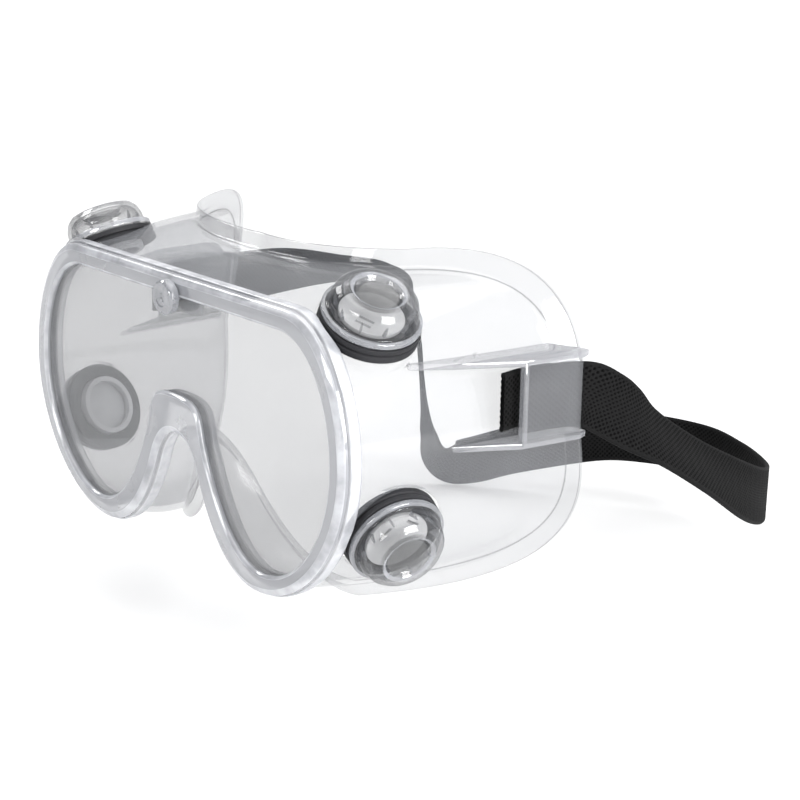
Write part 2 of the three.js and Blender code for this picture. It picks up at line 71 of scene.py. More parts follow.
# Half outlines, from the top centre round the right side to the centre of the nose, as cubic stretches:
# brow, brow corner, cheek, inner cheek, nose.
STRETCH_STEPS = [20, 26, 26, 26, 22]
FACE_EDGE = [
    [(0, 0, 40.4), (18, 0, 40.4), (36, 0, 40.4), (53, 0, 40.4)],
    [(53, 0, 40.4), (66, 0, 40.4), (77.6, 0, 24), (77.6, 0, 3)],
    [(77.6, 0, 3), (77.6, 0, -18), (60, 0, -39.2), (39, 0, -39.2)],
    [(39, 0, -39.2), (26, 0, -39.2), (17, 0, -28), (11.5, 0, -14)],
    [(11.5, 0, -14), (8.5, 0, -6.5), (4.5, 0, -3.8), (0, 0, -3.8)],
]
LENS_EDGE = [
    [(0, 0, 35.3), (17, 0, 35.3), (34, 0, 35.3), (50, 0, 35.3)],
    [(50, 0, 35.3), (62, 0, 35.3), (72.4, 0, 22), (72.4, 0, 3)],
    [(72.4, 0, 3), (72.4, 0, -16), (58, 0, -33.8), (42, 0, -33.8)],
    [(42, 0, -33.8), (29, 0, -33.8), (20, 0, -20), (14, 0, -4)],
    [(14, 0, -4), (12, 0, 5), (11, 0, 7), (0, 0, 7)],
]
FOLD = [
    [(0, 28, 45.6), (24, 25.5, 46.6), (40, 30.5, 47.2), (48, 41.5, 46.7)],
    [(48, 41.5, 46.7), (66, 66, 48.5), (80, 77, 40), (83.5, 71.8, 2)],
    [(83.5, 71.8, 2), (85, 74, -17), (83, 74, -35), (44, 30.5, -43.2)],
    [(44, 30.5, -43.2), (32, 25, -44), (19, 21, -30), (13, 17, -17)],
    [(13, 17, -17), (9, 13.5, -8), (5, 12, -5.5), (0, 12, -5.5)],
]
LIP_EDGE = [
    [(0, 30.5, 50), (24, 25.5, 50.8), (41, 32, 51.9), (49, 43.5, 51.9)],
    [(49, 43.5, 51.9), (66, 71.5, 54.5), (83, 83.5, 43), (85.8, 75.5, 2)],
    [(85.8, 75.5, 2), (88, 77.5, -19), (86, 76, -39), (45, 32, -46.8)],
    [(45, 32, -46.8), (32, 27, -48), (17, 23, -34), (10.5, 19, -19)],
    [(10.5, 19, -19), (7.5, 16, -12), (4, 15, -10), (0, 15, -10)],
]


def bezier(points, t):
    a, b, c, d = (np.array(p, float) for p in points)
    t = np.asarray(t)[:, None]
    s = 1 - t
    return s**3 * a + 3 * s * s * t * b + 3 * s * t * t * c + t**3 * d


def ring(stretches):
    """The whole closed outline as points, right half then left half."""
    half = [bezier(p, np.arange(n) / n) for p, n in zip(stretches, STRETCH_STEPS)]
    half = np.vstack(half + [np.array([stretches[-1][-1]], float)])
    left = half[1:-1][::-1] * (-1, 1, 1)
    return np.vstack([half, left])


def offset(points, distance, y=None):
    """A ring moved outwards in the XZ plane, at a depth of its own or as it is."""
    before, after = np.roll(points, 1, 0), np.roll(points, -1, 0)
    normal = np.stack([before[:, 2] - after[:, 2], after[:, 0] - before[:, 0]], 1)
    normal /= np.linalg.norm(normal, axis=1)[:, None]
    out = points.copy()
    out[:, 0] += normal[:, 0] * distance
    out[:, 2] += normal[:, 1] * distance
    if y is not None:
        out[:, 1] = y
    return out


face_edge, lens_edge, fold, lip_edge = (ring(o) for o in (FACE_EDGE, LENS_EDGE, FOLD, LIP_EDGE))
WALL = 1.8  # thickness
WALL_INSET, WALL_START = 0.2, 7.6  # where the side wall leaves the rim
WALL_RINGS = 11
wall_front = offset(face_edge, -WALL_INSET, WALL_START)


def wall_ring(t, inset):
    """Outer surface of the side wall at a fraction t of the way from the rim to the fold."""
    bulge = 4 * t * (1 - t)
    return offset(wall_front * (1 - t) + fold * t, bulge - inset)


# ------------------------------------------------------------------ mesh helpers


def to_row(points):
    return (np.asarray(points, float) - (0, FACE_DEPTH, 0)) * MM


def new_object(name, points, faces, smooth=35.0, as_is=False):
    """A mesh object, with edges sharper than the given angle kept sharp.

    The points are moved into the row frame, unless they are to stay as they are."""
    mesh = bpy.data.meshes.new(name)
    mesh.from_pydata([tuple(p) for p in (points if as_is else to_row(points))], [], faces)
    mesh.validate()
    mesh.shade_smooth()
    mesh.set_sharp_from_angle(angle=math.radians(smooth))
    obj = bpy.data.objects.new(name, mesh)
    bpy.context.scene.collection.objects.link(obj)
    return obj


def rounded(sections, radii, steps=3, closed=True):
    """Rounds each corner of a run of rings, or of a profile, by its own radius."""
    out = []
    n = len(sections)
    for k, (p, radius) in enumerate(zip(sections, radii)):
        p = np.asarray(p, float)
        if radius == 0 or (not closed and k in (0, n - 1)):
            out.append(p)
            continue
        a, b = np.asarray(sections[k - 1], float), np.asarray(sections[(k + 1) % n], float)
        la = np.linalg.norm(a - p, axis=-1, keepdims=True)
        lb = np.linalg.norm(b - p, axis=-1, keepdims=True)
        cut = np.minimum(radius, 0.45 * np.minimum(la, lb))
        start, end = p + (a - p) / la * cut, p + (b - p) / lb * cut
        for i in range(steps + 1):
            t = i / steps
            out.append((1 - t) ** 2 * start + 2 * t * (1 - t) * p + t * t * end)
    return out


def skin(rings, closed):
    """Quads over a row of rings with equal counts; an open row gets a flat cap at each end."""
    n = len(rings[0])
    faces = []
    for r in range(len(rings) if closed else len(rings) - 1):
        a, b = r * n, ((r + 1) % len(rings)) * n
        for i in range(n):
            j = (i + 1) % n
            faces.append((a + i, a + j, b + j, b + i))
    if not closed:
        faces.append(tuple(range(n))[::-1])
        faces.append(tuple((len(rings) - 1) * n + i for i in range(n)))
    return np.vstack(rings), faces


def lathe(profile, sides=72, radii=0.25, steps=2):
    """A closed profile of (radius, height) corners turned about +Z, its corners rounded."""
    on_axis = profile[0][0] == 0
    rounding = [0 if r == 0 else radii for r, _ in profile]
    line = rounded([np.array(p, float) for p in profile], rounding, steps, closed=not on_axis)
    angle = np.arange(sides) / sides * 2 * math.pi
    points, rows = [], []
    for r, h in line:
        if r < 1e-6:
            rows.append([len(points)] * sides)
            points.append((0, 0, h))
        else:
            rows.append(list(range(len(points), len(points) + sides)))
            points += [(r * math.cos(a), r * math.sin(a), h) for a in angle]
    faces = []
    for k in range(len(rows) - 1 if on_axis else len(rows)):
        a, b = rows[k], rows[(k + 1) % len(rows)]
        for i in range(sides):
            j = (i + 1) % sides
            corners = list(dict.fromkeys((a[i], a[j], b[j], b[i])))
            if len(corners) > 2:
                faces.append(tuple(corners))
    return np.array(points), faces


def prism(corners, low, high, matrix=None):
    """Straight prism over a polygon in X and Y, from one height to another."""
    n = len(corners)
    points = [(x, y, z) for z in (low, high) for x, y in corners]
    area = sum(corners[i][0] * corners[(i + 1) % n][1] - corners[(i + 1) % n][0] * corners[i][1]
               for i in range(n))
    faces = [tuple(range(n))[::-1], tuple(range(n, 2 * n))]
    faces += [(i, (i + 1) % n, n + (i + 1) % n, n + i) for i in range(n)]
    if area < 0:
        faces = [f[::-1] for f in faces]
    points = np.array(points, float)
    return (moved(points, matrix) if matrix else points), faces


def moved(points, matrix):
    m = np.array(matrix)
    return points @ m[:3, :3].T + m[:3, 3]


def settle(obj, smooth=35.0):
    """Applies the modifiers of an object."""
    graph = bpy.context.evaluated_depsgraph_get()
    mesh = bpy.data.meshes.new_from_object(obj.evaluated_get(graph))
    obj.modifiers.clear()
    obj.data = mesh
    mesh.shade_smooth()
    mesh.set_sharp_from_angle(angle=math.radians(smooth))
    return obj


def boolean(obj, other, operation):
    modifier = obj.modifiers.new("cut", "BOOLEAN")
    modifier.operation = operation
    modifier.solver = "MANIFOLD"
    modifier.material_mode = "TRANSFER"
    modifier.object = other
    settle(obj)
    bpy.data.objects.remove(other)
    return obj


def taken_out(obj):
    """The mesh of an object that was only made to work it out."""
    mesh = obj.data
    bpy.data.objects.remove(obj)
    return mesh


def softened(obj, width, segments=2, angle=40):
    """Bevels the sharp edges of an object; the width is in millimetres."""
    modifier = obj.modifiers.new("soften", "BEVEL")
    modifier.width = width * MM
    modifier.segments = segments
    modifier.limit_method = "ANGLE"
    modifier.angle_limit = math.radians(angle)
    return settle(obj)


# ------------------------------------------------------------------ vents: places

# Each vent's place: the middle of the underside of its cap's flange, with +Z along its axis.
VENTS = {}
for row, centre, normal in (("upper", (65, 19.2, 39.3), (0.459, -0.068, 0.886)),
                            ("lower", (75.6, 20, -18), (0.894, -0.162, -0.417))):
    for side_name, side in (("right", 1), ("left", -1)):
        axis = Vector((normal[0] * side, normal[1], normal[2])).normalized()
        turn = Vector((0, 0, 1)).rotation_difference(axis).to_matrix().to_4x4()
        place = Matrix.Translation((centre[0] * side, centre[1], centre[2])) @ turn
        VENTS[f"{row}_{side_name}"] = place

SEAT = -4.5  # top of the moulded boss under a gasket
BOSS_RADIUS, BOSS_FOOT = 13.7, -10
GASKET_CLEARANCE_RADIUS = 14.4
BORE_RADIUS = 9.6
VENT_SIDES = 72

RIM_DEPTH = 6.8
GROOVE_FRONT, GROOVE_BACK, GROOVE_REACH = 1.75, 4.35, 3.4  # the groove that holds the edge of the lens
THROAT, THROAT_BEVEL = 0.3, 0.9  # how far the opening behind the lens stands back, and its bevel
BEAD = 1.5  # how far the bead stands out from the face edge
LIP_THICKNESS, LIP_TAPER, FOLD_INSET = 1.4, 0.3, 0.9
CORNER_STEPS = 3

# ------------------------------------------------------------------ frame


def frame_section():
    """The frame's cross-section as rings with a corner radius each, and which stretches get a painted
    highlight (where they face the light) or a painted dark line.

    A stretch is what lies between two rings after the corners are rounded."""
    wall_steps = np.linspace(0, 1, WALL_RINGS)
    rings = [
        (offset(lens_edge, 0, 0.7), 0.3),
        (offset(lens_edge, 0.7, 0), 0.25),
        (offset(face_edge, -0.9, 0), 0.35),
        (offset(face_edge, 0.7, 1.0), 0.35),
        (offset(face_edge, 0.95, 2.1), 0.15),
        (offset(face_edge, 0.55, 2.35), 0.1),
        (offset(face_edge, BEAD, 2.75), 0.35),
        (offset(face_edge, BEAD, 5.4), 0.45),
        (offset(face_edge, 0.9, 6.5), 0.2),
        (offset(face_edge, -WALL_INSET, RIM_DEPTH), 0.3),
    ]
    rim_rings = len(rings)
    rings += [(wall_ring(t, 0), 0) for t in wall_steps[:-1]]
    rings += [(wall_ring(1, 0), 1.6), (lip_edge, 0.55)]
    facing = np.array((0, LIP_THICKNESS, 0))
    rings += [(offset(lip_edge, -LIP_TAPER) + facing, 0.5), (offset(fold, -FOLD_INSET) + facing, 0.9)]
    rings += [(wall_ring(t, WALL), 0) for t in wall_steps[::-1]]
    rings += [
        (offset(lens_edge, THROAT + THROAT_BEVEL, RIM_DEPTH), 0.3),
        (offset(lens_edge, THROAT, RIM_DEPTH - THROAT_BEVEL), 0.3),
        (offset(lens_edge, THROAT, GROOVE_BACK), 0.15),
        (offset(lens_edge, GROOVE_REACH, GROOVE_BACK), 0.1),
        (offset(lens_edge, GROOVE_REACH, GROOVE_FRONT), 0.1),
        (offset(lens_edge, 0, 1.7), 0.15),
    ]
    lip = rim_rings + len(wall_steps)
    painted_highlight_after = {0, 2, 6, 7}  # painted highlight on the opening's bevel, the front bevel, the bead's face and its back
    finish = []
    for k, (_, radius) in enumerate(rings):
        before = (k - 1) % len(rings) in painted_highlight_after
        # The middle of each lip corner's rounding gets the painted dark line.
        if k in (lip, lip + 2):
            finish += [0, 2, 0]
        elif radius:
            finish += [int(before or k in painted_highlight_after)] * CORNER_STEPS
        finish.append(int(k in painted_highlight_after))
    return rounded([r for r, _ in rings], [c for _, c in rings], CORNER_STEPS), finish


def hollow():
    """The space behind the lens, which no boss or rail may enter."""
    walls = [wall_ring(t, WALL) for t in np.linspace(0, 1, WALL_RINGS)]
    behind = walls[-1] + (0, 20, 0)
    rings = [
        offset(lens_edge, THROAT, GROOVE_BACK),
        offset(lens_edge, THROAT, RIM_DEPTH - THROAT_BEVEL),
        offset(lens_edge, THROAT + THROAT_BEVEL, RIM_DEPTH),
    ]
    points, faces = skin(rings + walls + [behind], False)
    return new_object("hollow", points, faces)


# Strap brackets, seen from above on the right side. Rails and plate are given as heights, low to high.
RAIL_HEIGHTS = [(26.2, 27.9), (3.7, 5.4)]
RAIL = [
    (70, 24), (74.8, 24), (80.5, 34), (89.2, 51.6), (91.0, 71), (89.4, 74.5), (85.5, 73.5), (70, 66),
]
PLATE, PLATE_HEIGHT = [(87.6, 52), (89.2, 52), (91.0, 71), (89.4, 71)], (4.9, 26.7)
BAR, BAR_HEIGHT = [(87.3, 51.5), (89.5, 51.5), (89.65, 52.9), (87.45, 52.9)], (4.2, 27.4)


def rail(side, low, high):
    """One rail of a strap bracket, from the side wall out to behind the plate."""
    points, faces = prism([(x * side, y) for x, y in RAIL], low, high)
    piece = softened(new_object("rail", points, faces), 0.35)
    piece.data.materials.append(THICK_VINYL)
    return piece


def bracket_plate(side):
    """The plate that the strap runs behind, with a thicker bar along its front edge."""
    points, faces = prism([(x * side, y) for x, y in PLATE], *PLATE_HEIGHT)
    plate = softened(new_object("plate", points, faces), 0.3)
    points, faces = prism([(x * side, y) for x, y in BAR], *BAR_HEIGHT)
    bar = softened(new_object("bar", points, faces), 0.45)
    plate.data.materials.append(VINYL)
    bar.data.materials.append(THICK_VINYL)
    return boolean(plate, bar, "UNION")


TAB, TAB_HEIGHT = [(-6, 4.35), (6, 4.35), (6, 7.4), (-6, 7.4)], (29.6, 41)  # holds the lens stud
STUD_HOLE_RADIUS = 1.8
STUD_PLACE = Matrix.Translation((0, 0, 35.2)) @ Matrix.Rotation(-math.pi / 2, 4, "X")


def build_frame():
    section, finish = frame_section()
    points, faces = skin(section, True)
    shell = new_object("frame_shell", points, faces)
    shell.data.materials.append(VINYL)
    shell.data.materials.append(VINYL_PAINTED_HIGHLIGHT)
    shell.data.materials.append(VINYL_PAINTED_DARK_LINE)
    for k, face in enumerate(shell.data.polygons):
        face.material_index = finish[k // len(section[0])]
    for matrix in VENTS.values():
        profile = [(0, BOSS_FOOT), (BOSS_RADIUS, BOSS_FOOT), (BOSS_RADIUS, SEAT), (0, SEAT)]
        boss, faces = lathe(profile, VENT_SIDES, 0.3)
        piece = new_object("boss", moved(boss, matrix), faces)
        boolean(shell, boolean(piece, hollow(), "DIFFERENCE"), "UNION")
    for side in (1, -1):
        for low, high in RAIL_HEIGHTS:
            boolean(shell, boolean(rail(side, low, high), hollow(), "DIFFERENCE"), "UNION")
        boolean(shell, bracket_plate(side), "UNION")
    for matrix in VENTS.values():
        for radius, low, high in ((GASKET_CLEARANCE_RADIUS, SEAT, 12), (BORE_RADIUS, -22, 2)):
            points, faces = lathe([(0, low), (radius, low), (radius, high), (0, high)], VENT_SIDES, 0)
            boolean(shell, new_object("cut", moved(points, matrix), faces), "DIFFERENCE")
    points, faces = prism(TAB, *TAB_HEIGHT)
    boolean(shell, softened(new_object("tab", points, faces), 0.8), "UNION")
    points, faces = lathe([(0, -12), (STUD_HOLE_RADIUS, -12), (STUD_HOLE_RADIUS, 12), (0, 12)], 40, 0)
    boolean(shell, new_object("hole", moved(points, STUD_PLACE), faces), "DIFFERENCE")
    return shell


# ------------------------------------------------------------------ materials


class Nodes:
    """A material's node tree, with a short way to add and link nodes."""

    def __init__(self, name):
        self.material = bpy.data.materials.new(name)
        self.material.use_nodes = True
        self.tree = self.material.node_tree
        self.shader = self.tree.nodes["Principled BSDF"]

    def add(self, kind, inputs=None, **settings):
        node = self.tree.nodes.new(kind)
        for key, value in settings.items():
            setattr(node, key, value)
        for key, value in (inputs or {}).items():
            self.set(node.inputs[key], value)
        return node

    def set(self, socket, value):
        if isinstance(value, bpy.types.NodeSocket):
            self.tree.links.new(value, socket)
        else:
            socket.default_value = value

    def ramp(self, factor, low, high, to_low=0.0, to_high=1.0):
        node = self.add("ShaderNodeMapRange", {"Value": factor, "From Min": low, "From Max": high,
                                               "To Min": to_low, "To Max": to_high})
        return node.outputs["Result"]

    def noise(self, scale, detail=4.0, vector=None):
        node = self.add("ShaderNodeTexNoise", {"Scale": scale, "Detail": detail})
        self.set(node.inputs["Vector"], vector or self.position())
        return node.outputs["Fac"]

    def position(self):
        return self.add("ShaderNodeTexCoord").outputs["Object"]

    def mix(self, factor, a, b):
        node = self.add("ShaderNodeMix", data_type="RGBA")
        self.set(node.inputs["Factor"], factor)
        self.set(node.inputs["A"], a)
        self.set(node.inputs["B"], b)
        return node.outputs["Result"]

    def bump(self, height, strength, distance):
        node = self.add("ShaderNodeBump", {"Height": height, "Strength": strength, "Distance": distance})
        return node.outputs["Normal"]

    def finish(self, **inputs):
        for key, value in inputs.items():
            self.set(self.shader.inputs[key.replace("_", " ")], value)
        return self.material


def clear_plastic(name, tone, face_on, edge_on, roughness, ripple, rim=None, streaks=0.05):
    """Clear plastic: more of it shows towards its edges, with faint ripples, scuffs and cloudiness.

    A rim value is the least that shows in front of the frame's side wall, where the plastic is thick."""
    n = Nodes(name)
    cloud = n.noise(45.0 if streaks < 0.1 else 160.0, 5.0)
    scuff = n.noise(900.0, 6.0)
    weight = n.add("ShaderNodeLayerWeight", {"Blend": 0.35}).outputs["Facing"]
    edge = n.ramp(weight, 0.25, 0.95, face_on, edge_on)
    if rim:
        depth = n.add("ShaderNodeSeparateXYZ", {"Vector": n.position()}).outputs["Y"]
        thick = n.ramp(depth, -0.0535, -0.0525, 1.0, 0.0)
        dense = n.add("ShaderNodeMath", {0: thick, 1: rim}, operation="MULTIPLY").outputs["Value"]
        edge = n.add("ShaderNodeMath", {0: edge, 1: dense}, operation="MAXIMUM").outputs["Value"]
    streak = n.ramp(cloud, 0.3, 0.7, 1 - streaks, 1 + streaks)
    cover = n.add("ShaderNodeMath", {0: edge, 1: streak}, operation="MULTIPLY")
    light, deep = (tuple(c * k for c in tone) + (1,) for k in (1.08, 0.94))
    colour = n.mix(n.ramp(cloud, 0.35, 0.65), deep, light)
    if rim:
        colour = n.mix(thick, colour, tuple(c * 1.35 for c in tone) + (1,))
    # Painted dark outline: the colour darkens to half where the surface turns edge-on to the view.
    colour = n.mix(n.ramp(weight, 0.9, 0.99), colour, tuple(c * 0.5 for c in tone) + (1,))
    return n.finish(
        Base_Color=colour,
        Alpha=cover.outputs["Value"],
        Roughness=n.ramp(scuff, 0.3, 0.7, roughness * 0.7, roughness * 1.3),
        IOR=1.9,
        Specular_IOR_Level=0.8,
        Normal=n.bump(n.noise(ripple, 2.0), 0.12, 0.0006),
    )


def dark_rubber():
    n = Nodes("dark_rubber")
    grain = n.noise(2200.0, 6.0)
    patch = n.noise(120.0, 3.0)
    return n.finish(
        Base_Color=n.mix(n.ramp(patch, 0.3, 0.7), (0.014, 0.014, 0.016, 1), (0.022, 0.022, 0.025, 1)),
        Roughness=n.ramp(grain, 0.3, 0.7, 0.45, 0.65),
        Specular_IOR_Level=0.3,
        Normal=n.bump(grain, 0.25, 0.00012),
    )


def soft_silicone():
    n = Nodes("soft_silicone")
    patch = n.noise(300.0, 4.0)
    return n.finish(
        Base_Color=n.mix(n.ramp(patch, 0.3, 0.7), (0.34, 0.345, 0.355, 1), (0.40, 0.405, 0.415, 1)),
        Roughness=n.ramp(patch, 0.3, 0.7, 0.35, 0.5),
        Subsurface_Weight=0.2,
        Subsurface_Radius=(0.002, 0.002, 0.002),
        Normal=n.bump(n.noise(1500.0, 5.0), 0.15, 0.0001),
    )


def knitted(name, light):
    """Black knitted elastic: the loops are in the mesh, and the yarn within them is drawn here."""
    n = Nodes(name)
    hole = n.add("ShaderNodeAttribute", attribute_name="knit_hole").outputs["Fac"]
    along = n.add("ShaderNodeAttribute", attribute_name="strap_place").outputs["Vector"]
    yarn = n.noise(2.2, 4.0, along)
    fuzz = n.noise(9.0, 3.0, along)
    base = n.mix(n.ramp(yarn, 0.3, 0.7), (light * 0.8, light * 0.8, light * 0.82, 1),
                 (light * 1.25, light * 1.25, light * 1.27, 1))
    return n.finish(
        # The knit's holes are real, and their near-black colour is painted shade in the hollows between
        # the loops.
        Base_Color=n.mix(n.ramp(hole, 0.25, 0.85), base, (0.0006, 0.0006, 0.0007, 1)),
        Roughness=n.ramp(fuzz, 0.3, 0.7, 0.7, 0.95),
        Specular_IOR_Level=0.05,
        Sheen_Weight=0.02,
        Sheen_Roughness=0.4,
        Normal=n.bump(fuzz, 0.4, 0.00008),
    )


VINYL = clear_plastic("clear_vinyl", (0.22, 0.226, 0.243), 0.22, 0.5, 0.08, 60.0, 0.66)
THICK_VINYL = clear_plastic("thick_clear_vinyl", (0.24, 0.245, 0.265), 0.5, 0.9, 0.07, 60.0)
# Painted highlight: a lighter, more solid vinyl on the rim's bevels and bead that face the light.
VINYL_PAINTED_HIGHLIGHT = clear_plastic("clear_vinyl_painted_highlight", (0.48, 0.49, 0.52), 0.66, 0.92, 0.06, 90.0, streaks=0.2)
# Painted dark line: a near-black vinyl along the lip's corners, standing in for the dark edge lines of
# clear plastic.
VINYL_PAINTED_DARK_LINE = clear_plastic("clear_vinyl_painted_dark_line", (0.05, 0.052, 0.057), 0.62, 0.72, 0.1, 60.0)
LENS = clear_plastic("clear_lens", (0.17, 0.175, 0.187), 0.33, 0.44, 0.05, 12.0)
RIGID = clear_plastic("clear_rigid_plastic", (0.09, 0.093, 0.101), 0.22, 0.84, 0.05, 90.0)
# Painted highlight: a lighter clear plastic for the caps' flanges, well edges and fins, and for the lens
# stud.
RIGID_PAINTED_HIGHLIGHT = clear_plastic(
    "clear_rigid_plastic_painted_highlight", (0.27, 0.278, 0.30), 0.6, 0.9, 0.06, 90.0, streaks=0.15)
# Painted shade: a near-black clear plastic on the floor of each cap's well.
RIGID_PAINTED_SHADE = clear_plastic("clear_rigid_plastic_painted_shade", (0.03, 0.031, 0.034), 0.66, 0.8, 0.2, 90.0)
MILKY = clear_plastic("milky_rigid_plastic", (0.80, 0.805, 0.815), 0.9, 0.97, 0.2, 90.0)
RUBBER = dark_rubber()
SILICONE = soft_silicone()
WEBBING = knitted("black_webbing", 0.0086)


def finish_piece(obj, material, body, slot, *nodes):
    """Gives a piece its material, unless it has its own, and says what it rides on and stands for."""
    if material:
        obj.data.materials.clear()
        obj.data.materials.append(material)
    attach(obj, body)
    if nodes:
        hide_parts(*nodes)
    return obj


# ------------------------------------------------------------------ frame, lens and stud

finish_piece(build_frame(), None, "goggles", "clear_vinyl", "frame")

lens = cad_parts["lens"]
lens.data.materials.clear()
lens.data.materials.append(LENS)

STUD_HEAD_FRONT = -3.4
STUD_PROFILE = [
    (0, 0.9), (1.1, 0.9), (1.4, 0.2), (2.4, 0.2), (2.7, 0), (4.3, 0), (5.0, 0.8), (5.0, 2.7), (4.6, 3.1),
    (1.5, 3.1), (1.5, 13.4), (1.1, 14), (0, 14),
]
# The stud and its ring take the painted-highlight plastic all over.
points, faces = lathe([(r, h + STUD_HEAD_FRONT) for r, h in STUD_PROFILE[::-1]], 64, 0.2)
stud = new_object("lens_stud_moulding", moved(points, STUD_PLACE), faces)
finish_piece(stud, RIGID_PAINTED_HIGHLIGHT, "goggles", "clear_rigid_plastic", "lens_stud")
STUD_RING_PROFILE = [(1.8, 7.7), (1.8, 9.7), (2.7, 9.7), (2.7, 7.7)]
points, faces = lathe(STUD_RING_PROFILE, 48, 0.25)
stud_ring = new_object("lens_stud_ring_moulding", moved(points, STUD_PLACE), faces)
finish_piece(stud_ring, RIGID_PAINTED_HIGHLIGHT, "goggles", "clear_rigid_plastic", "lens_stud_ring")

# ------------------------------------------------------------------ vents

# Half sections of the turned pieces, as (radius, height) above the underside of the cap's flange.
GASKET_PROFILE = [
    (8.5, -0.3), (10.2, -0.3), (10.2, -3.0), (12.0, -3.0), (12.0, -0.3), (13.6, -0.3), (13.6, -1.75),
    (13.0, -2.0), (13.0, -2.2), (13.7, -2.45), (13.7, -4.2), (9.5, -4.2), (9.5, -1.3), (8.5, -1.3),
]
SEAT_PROFILE = [(7.6, -6.2), (7.6, -4.2), (8.2, -4.2), (8.2, -1.6), (9.2, -1.6), (9.2, -6.2)]
FLAP_PROFILE = [(0, -3.9), (7.8, -3.9), (7.8, -3.3), (2.0, -3.3), (1.4, -2.9), (0, -2.9)]
CAP_PROFILE = [
    (0, 5.9), (5.6, 5.9), (6.6, 6.9), (7.9, 7.5), (9.2, 7.1), (10.4, 5.6), (10.9, 3.8), (10.5, 1.9),
    (10.5, -2.6), (11.7, -2.6), (11.7, 0), (13.2, 0), (13.5, 0.3), (13.5, 1.7), (12.1, 1.9), (11.9, 4.4),
    (11.1, 6.8), (9.6, 8.4), (8.0, 8.9), (6.8, 8.5), (5.9, 7.2), (5.3, 6.9), (0, 6.9),
]
FINS = 10
FIN = [(9.2, 1.6), (11.3, 1.6), (11.3, 5.2), (10.6, 5.2)]
FIN_HALF_THICKNESS = 0.25
BAFFLE_RADIUS, BAFFLE_THICKNESS = 8.9, 1.2
SLOT_HALF_WIDTH, SLOT_HALF_LENGTH = 0.5, 2.2


def cap_mesh():
    """Domed cap with a round well and short upright fins inside its wall; its flange, the well's edge and
    the fins take a painted highlight, and the floor of the well a painted shade.
    """
    points, faces = lathe(CAP_PROFILE, 96, 0.45, 3)
    cap = new_object("cap", points, faces, as_is=True)
    for material in (RIGID, RIGID_PAINTED_HIGHLIGHT, RIGID_PAINTED_SHADE):
        cap.data.materials.append(material)
    for k in range(FINS):
        around = Matrix.Rotation((k + 0.5) / FINS * 2 * math.pi, 4, "Z")
        turn = around @ Matrix.Rotation(math.pi / 2, 4, "X")
        points, faces = prism(FIN, -FIN_HALF_THICKNESS, FIN_HALF_THICKNESS, turn)
        piece = new_object("fin", points, faces, as_is=True)
        piece.data.materials.append(RIGID_PAINTED_HIGHLIGHT)
        boolean(cap, piece, "UNION")
    mesh = cap.data
    for face in mesh.polygons:
        spot = face.center
        radius = math.hypot(spot.x, spot.y)
        on_flange = radius > 11.9 and 0.25 < spot.z < 1.85
        on_well_edge = 6.2 < radius < 7.6 and spot.z > 8.2
        in_well = radius < 5.8 and 5.5 < spot.z < 7.3
        if on_flange or on_well_edge:
            face.material_index = 1
        elif in_well:
            face.material_index = 2
    return taken_out(cap)


def baffle_mesh(slots):
    """Splash baffle: a flat disc with two short slots, each at an angle and a distance from its middle."""
    profile = [(0, 0), (BAFFLE_RADIUS, 0), (BAFFLE_RADIUS, BAFFLE_THICKNESS), (0, BAFFLE_THICKNESS)]
    points, faces = lathe(profile, VENT_SIDES, 0.3)
    disc = new_object("disc", points, faces, as_is=True)
    for angle, distance in slots:
        turn = Matrix.Rotation(math.radians(angle), 4, "Z")
        inner, outer = distance - SLOT_HALF_WIDTH, distance + SLOT_HALF_WIDTH
        corners = [(inner, -SLOT_HALF_LENGTH), (outer, -SLOT_HALF_LENGTH)]
        corners += [(outer, SLOT_HALF_LENGTH), (inner, SLOT_HALF_LENGTH)]
        points, faces = prism(corners, -1, 2, turn)
        boolean(disc, new_object("slot", points, faces, as_is=True), "DIFFERENCE")
    return taken_out(disc)


cap_shape = cap_mesh()
gasket_points, gasket_faces = lathe(GASKET_PROFILE, 96, 0.2)
flap_points, flap_faces = lathe(FLAP_PROFILE, 64, 0.2)
seat_points, seat_faces = lathe(SEAT_PROFILE, 96, 0.2)
# Each slot's direction in degrees and its distance from the middle of the baffle.
SLOTS = {
    "upper_right": ((-60, 3.4), (-60, 5.7)),
    "upper_left": ((-120, 3.4), (-120, 5.7)),
    "lower_right": ((-135, 5.2), (140, 6.4)),
    "lower_left": ((-45, 5.2), (40, 6.4)),
}


def placed_copy(name, mesh, matrix):
    """A mesh made in vent coordinates, copied to its place in the row frame."""
    copy = mesh.copy()
    copy.name = name
    co = np.empty(len(copy.vertices) * 3)
    copy.vertices.foreach_get("co", co)
    copy.vertices.foreach_set("co", to_row(moved(co.reshape(-1, 3), matrix)).ravel())
    copy.update()
    obj = bpy.data.objects.new(name, copy)
    bpy.context.scene.collection.objects.link(obj)
    return obj


for vent, matrix in VENTS.items():
    gasket = new_object(f"vent_gasket_{vent}_moulding", moved(gasket_points, matrix), gasket_faces)
    finish_piece(gasket, RUBBER, "goggles", "dark_rubber", f"vent_gasket_{vent}")
    flap = new_object(f"vent_flap_{vent}_disc", moved(flap_points, matrix), flap_faces)
    finish_piece(flap, SILICONE, f"flap_{vent}", "soft_silicone", f"vent_flap_{vent}")
    seat = new_object(f"vent_seat_{vent}_moulding", moved(seat_points, matrix), seat_faces)
    finish_piece(seat, SILICONE, "goggles", "soft_silicone")
    disc = baffle_mesh(SLOTS[vent])
    baffle = placed_copy(f"vent_baffle_{vent}_moulding", disc, matrix)
    bpy.data.meshes.remove(disc)
    finish_piece(baffle, MILKY, "goggles", "clear_rigid_plastic", f"vent_baffle_{vent}")
    cap = placed_copy(f"vent_cap_{vent}_moulding", cap_shape, matrix)
    finish_piece(cap, None, f"cap_{vent}", "clear_rigid_plastic", f"vent_cap_{vent}")
bpy.data.meshes.remove(cap_shape)

# ------------------------------------------------------------------ strap

